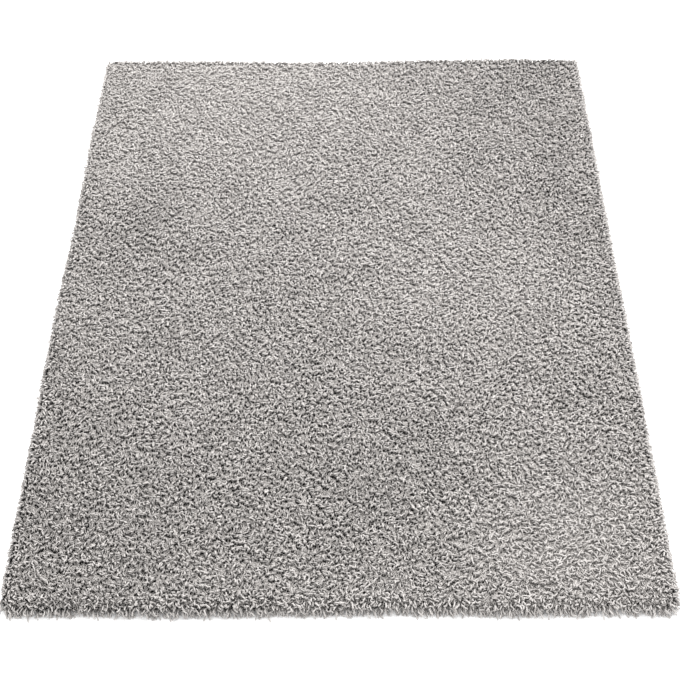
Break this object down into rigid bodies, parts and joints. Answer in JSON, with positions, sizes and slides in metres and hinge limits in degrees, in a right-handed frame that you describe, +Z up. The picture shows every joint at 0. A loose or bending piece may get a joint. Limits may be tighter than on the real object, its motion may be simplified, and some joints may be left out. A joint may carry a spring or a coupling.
{
  "type": "shag rug",
  "caption": "Rectangular light grey shag rug with a deep lumpy pile, lying flat, its outermost tufts leaning over the rim to the floor.",
  "frame": {"origin": "centre of the rug's outline, on the floor that it lies on", "axes": "+X across the rug, +Y along its length away from the front edge, +Z up out of the pile"},
  "size_m": [1.2, 1.7, 0.0386],
  "materials": {
    "pile": "matt heather-grey shag pile of twisted yarn"
  },
  "bodies": {
    "root": {"shag_rug": "pile"}
  },
  "joints": []
}
